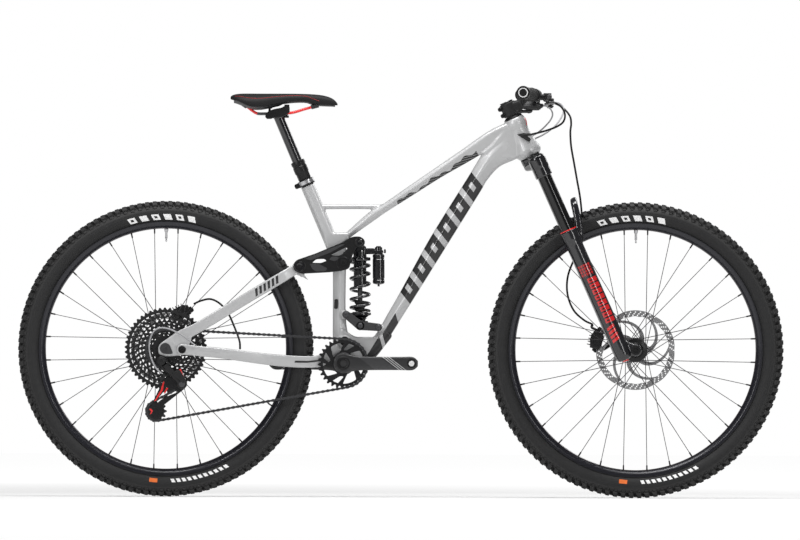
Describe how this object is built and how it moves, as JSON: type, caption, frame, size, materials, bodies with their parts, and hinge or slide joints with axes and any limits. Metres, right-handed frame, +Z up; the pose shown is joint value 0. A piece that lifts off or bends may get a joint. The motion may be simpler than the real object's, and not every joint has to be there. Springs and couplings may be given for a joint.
{
  "type": "mountain bike",
  "caption": "Full suspension mountain bike with coil shock, long travel fork, disc brakes, dropper post, wide bar and single chainring drivetrain, without pedals.",
  "frame": {"origin": "on the ground, midway between the two wheel axles, in the middle plane of the frame", "axes": "+X forwards, +Y to the rider's left, +Z up"},
  "size_m": [1.9139, 0.7912, 1.0267],
  "materials": {
    "frame_paint": "satin pale silver paint",
    "black_metal": "black anodised",
    "grey_alloy": "dark grey anodised",
    "steel": "bare steel",
    "steel_dark": "black coated steel",
    "black_rubber": "matt",
    "hose": "satin black hose",
    "housing": "grey cable housing",
    "tyre": "matt tread rubber",
    "rim_black": "satin black",
    "spoke": "black coated steel wire",
    "rotor_steel": "brushed steel",
    "rocker_black": "satin black with grey panels",
    "spring_black": "gloss black powder coat",
    "fork_gloss": "gloss black",
    "stanchion": "polished black coat",
    "grip_rubber": "ribbed soft rubber",
    "black_plastic": "moulded black",
    "red_rail": "red enamel",
    "saddle_skin": "synthetic leather"
  },
  "bodies": {
    "root": {"front_triangle": "frame_paint", "headset": "black_metal", "bottom_bracket": "black_metal", "frame_pivot_axles": "black_metal", "shock_bracket": "grey_alloy", "shock_bracket_bolts": "steel", "seat_clamp": "grey_alloy", "dropper_outer_tube": "black_metal", "cable_ports": "black_rubber", "chain": "steel_dark", "brake_hoses": "hose", "control_housings": "housing"},
    "chainstay": {"chainstay": "frame_paint", "horst_pivot_bolts": "black_metal"},
    "seatstay": {"seatstay": "frame_paint", "rear_axle_bolt": "black_metal", "rear_brake_caliper": "black_metal", "derailleur_hanger": "grey_alloy"},
    "rear_wheel": {"rear_tyre": "tyre", "rear_rim": "rim_black", "rear_spokes": "spoke", "rear_hub": "black_metal", "rear_brake_rotor": "rotor_steel"},
    "cassette": {"cassette": "steel_dark", "freehub": "steel"},
    "rocker": {"rocker_link": "rocker_black", "rocker_bolts": "black_metal"},
    "shock_lower": {"shock_shaft": "black_metal", "shock_spring": "spring_black"},
    "shock_upper": {"shock_body": "black_metal"},
    "front_wheel": {"front_tyre": "tyre", "front_rim": "rim_black", "front_spokes": "spoke", "front_hub": "black_metal", "front_brake_rotor": "rotor_steel"},
    "steering": {"fork_crown": "fork_gloss", "fork_stanchions": "stanchion", "stem": "black_metal", "handlebar": "black_metal", "grips": "grip_rubber", "brake_lever_bodies": "black_metal", "shifter_body": "black_plastic", "dropper_remote_body": "black_plastic"},
    "fork_lowers": {"fork_lowers": "fork_gloss", "front_axle_bolt": "black_metal", "front_brake_caliper": "black_metal"},
    "brake_blade_right": {"brake_blade_right": "grey_alloy"},
    "brake_blade_left": {"brake_blade_left": "grey_alloy"},
    "shift_paddle": {"shift_paddle": "black_plastic"},
    "dropper_paddle": {"dropper_paddle": "black_plastic"},
    "dropper": {"dropper_post": "black_metal", "saddle_rails": "red_rail", "saddle_shell": "black_plastic", "saddle_cover": "saddle_skin"},
    "crank": {"crankset": "black_metal", "chainring": "steel_dark"},
    "derailleur_body": {"derailleur_body": "grey_alloy"},
    "derailleur_cage": {"derailleur_cage": "steel_dark"},
    "upper_pulley": {"upper_pulley": "black_plastic"},
    "lower_pulley": {"lower_pulley": "black_plastic"}
  },
  "joints": [
    {"name": "rear_suspension", "type": "hinge", "parent": "root", "child": "chainstay", "pos_m": [-0.14, 0, 0.39], "axis": [0, 1, 0], "range_deg": [0, 19.41], "stiffness_Nm_per_rad": 1800, "deforming": ["chain", "brake_hoses", "control_housings"]},
    {"name": "horst_link", "type": "hinge", "parent": "chainstay", "child": "seatstay", "pos_m": [-0.546, 0, 0.368], "axis": [0, 1, 0], "range_deg": [-11.73, 0.01]},
    {"name": "rocker_turn", "type": "hinge", "parent": "root", "child": "rocker", "pos_m": [-0.144, 0, 0.586], "axis": [0, 1, 0], "range_deg": [-0.01, 56.06]},
    {"name": "shock_swing", "type": "hinge", "parent": "root", "child": "shock_lower", "pos_m": [-0.1015, 0, 0.429], "axis": [0, 1, 0], "range_deg": [-0.01, 9.08]},
    {"name": "shock_stroke", "type": "slide", "parent": "shock_lower", "child": "shock_upper", "axis": [0.0072, 0, -1], "range_m": [-0.0001, 0.0551], "deforming": ["shock_spring"]},
    {"name": "rear_wheel_spin", "type": "hinge", "parent": "seatstay", "child": "rear_wheel", "pos_m": [-0.587, 0, 0.37], "axis": [0, 1, 0], "continuous": true},
    {"name": "crank_spin", "type": "hinge", "parent": "root", "child": "crank", "pos_m": [-0.143, 0, 0.335], "axis": [0, 1, 0], "continuous": true},
    {"name": "cassette_spin", "type": "hinge", "parent": "seatstay", "child": "cassette", "pos_m": [-0.587, 0, 0.37], "axis": [0, 1, 0], "continuous": true},
    {"name": "derailleur_shift", "type": "hinge", "parent": "seatstay", "child": "derailleur_body", "pos_m": [-0.586, -0.086, 0.327], "axis": [0.744, 0, 0.6682], "range_deg": [-14, 1]},
    {"name": "cage_turn", "type": "hinge", "parent": "derailleur_body", "child": "derailleur_cage", "pos_m": [-0.546, 0, 0.282], "axis": [0, 1, 0], "range_deg": [-25, 4]},
    {"name": "upper_pulley_spin", "type": "hinge", "parent": "derailleur_cage", "child": "upper_pulley", "pos_m": [-0.58, 0, 0.285], "axis": [0, 1, 0], "continuous": true},
    {"name": "lower_pulley_spin", "type": "hinge", "parent": "derailleur_cage", "child": "lower_pulley", "pos_m": [-0.611, 0, 0.214], "axis": [0, 1, 0], "continuous": true},
    {"name": "steering_turn", "type": "hinge", "parent": "root", "child": "steering", "pos_m": [0.3225, 0, 0.852], "axis": [-0.4067, 0, 0.9135], "range_deg": [-60, 60]},
    {"name": "fork_stroke", "type": "slide", "parent": "steering", "child": "fork_lowers", "axis": [-0.4067, 0, 0.9135], "range_m": [0, 0.14], "stiffness_N_per_m": 8000},
    {"name": "front_wheel_spin", "type": "hinge", "parent": "fork_lowers", "child": "front_wheel", "pos_m": [0.587, 0, 0.37], "axis": [0, 1, 0], "continuous": true},
    {"name": "right_brake_pull", "type": "hinge", "parent": "steering", "child": "brake_blade_right", "pos_m": [0.372, -0.196, 0.986], "axis": [0, 0, -1], "range_deg": [0, 16], "stiffness_Nm_per_rad": 0.5},
    {"name": "left_brake_pull", "type": "hinge", "parent": "steering", "child": "brake_blade_left", "pos_m": [0.372, 0.196, 0.986], "axis": [0, 0, 1], "range_deg": [0, 16], "stiffness_Nm_per_rad": 0.5},
    {"name": "shift_paddle_push", "type": "hinge", "parent": "steering", "child": "shift_paddle", "pos_m": [0.31931, -0.175, 0.966], "axis": [0, 0, 1], "range_deg": [0, 20], "stiffness_Nm_per_rad": 0.3},
    {"name": "dropper_paddle_push", "type": "hinge", "parent": "steering", "child": "dropper_paddle", "pos_m": [0.31931, 0.181, 0.966], "axis": [0, 0, -1], "range_deg": [0, 20], "stiffness_Nm_per_rad": 0.3},
    {"name": "dropper_drop", "type": "slide", "parent": "root", "child": "dropper", "axis": [0.3907, 0, -0.9205], "range_m": [0, 0.11]}
  ],
  "couplings": [
    {"joint": "horst_link", "follows": "rear_suspension", "ratio": -0.60385},
    {"joint": "rocker_turn", "follows": "rear_suspension", "ratio": 2.8878},
    {"joint": "shock_swing", "follows": "rear_suspension", "ratio": 0.46753},
    {"joint": "shock_stroke", "follows": "rear_suspension", "m_per_rad": 0.16237},
    {"joint": "cassette_spin", "follows": "crank_spin", "ratio": 1.25},
    {"joint": "upper_pulley_spin", "follows": "crank_spin", "ratio": -2.5},
    {"joint": "lower_pulley_spin", "follows": "crank_spin", "ratio": 2.5}
  ]
}
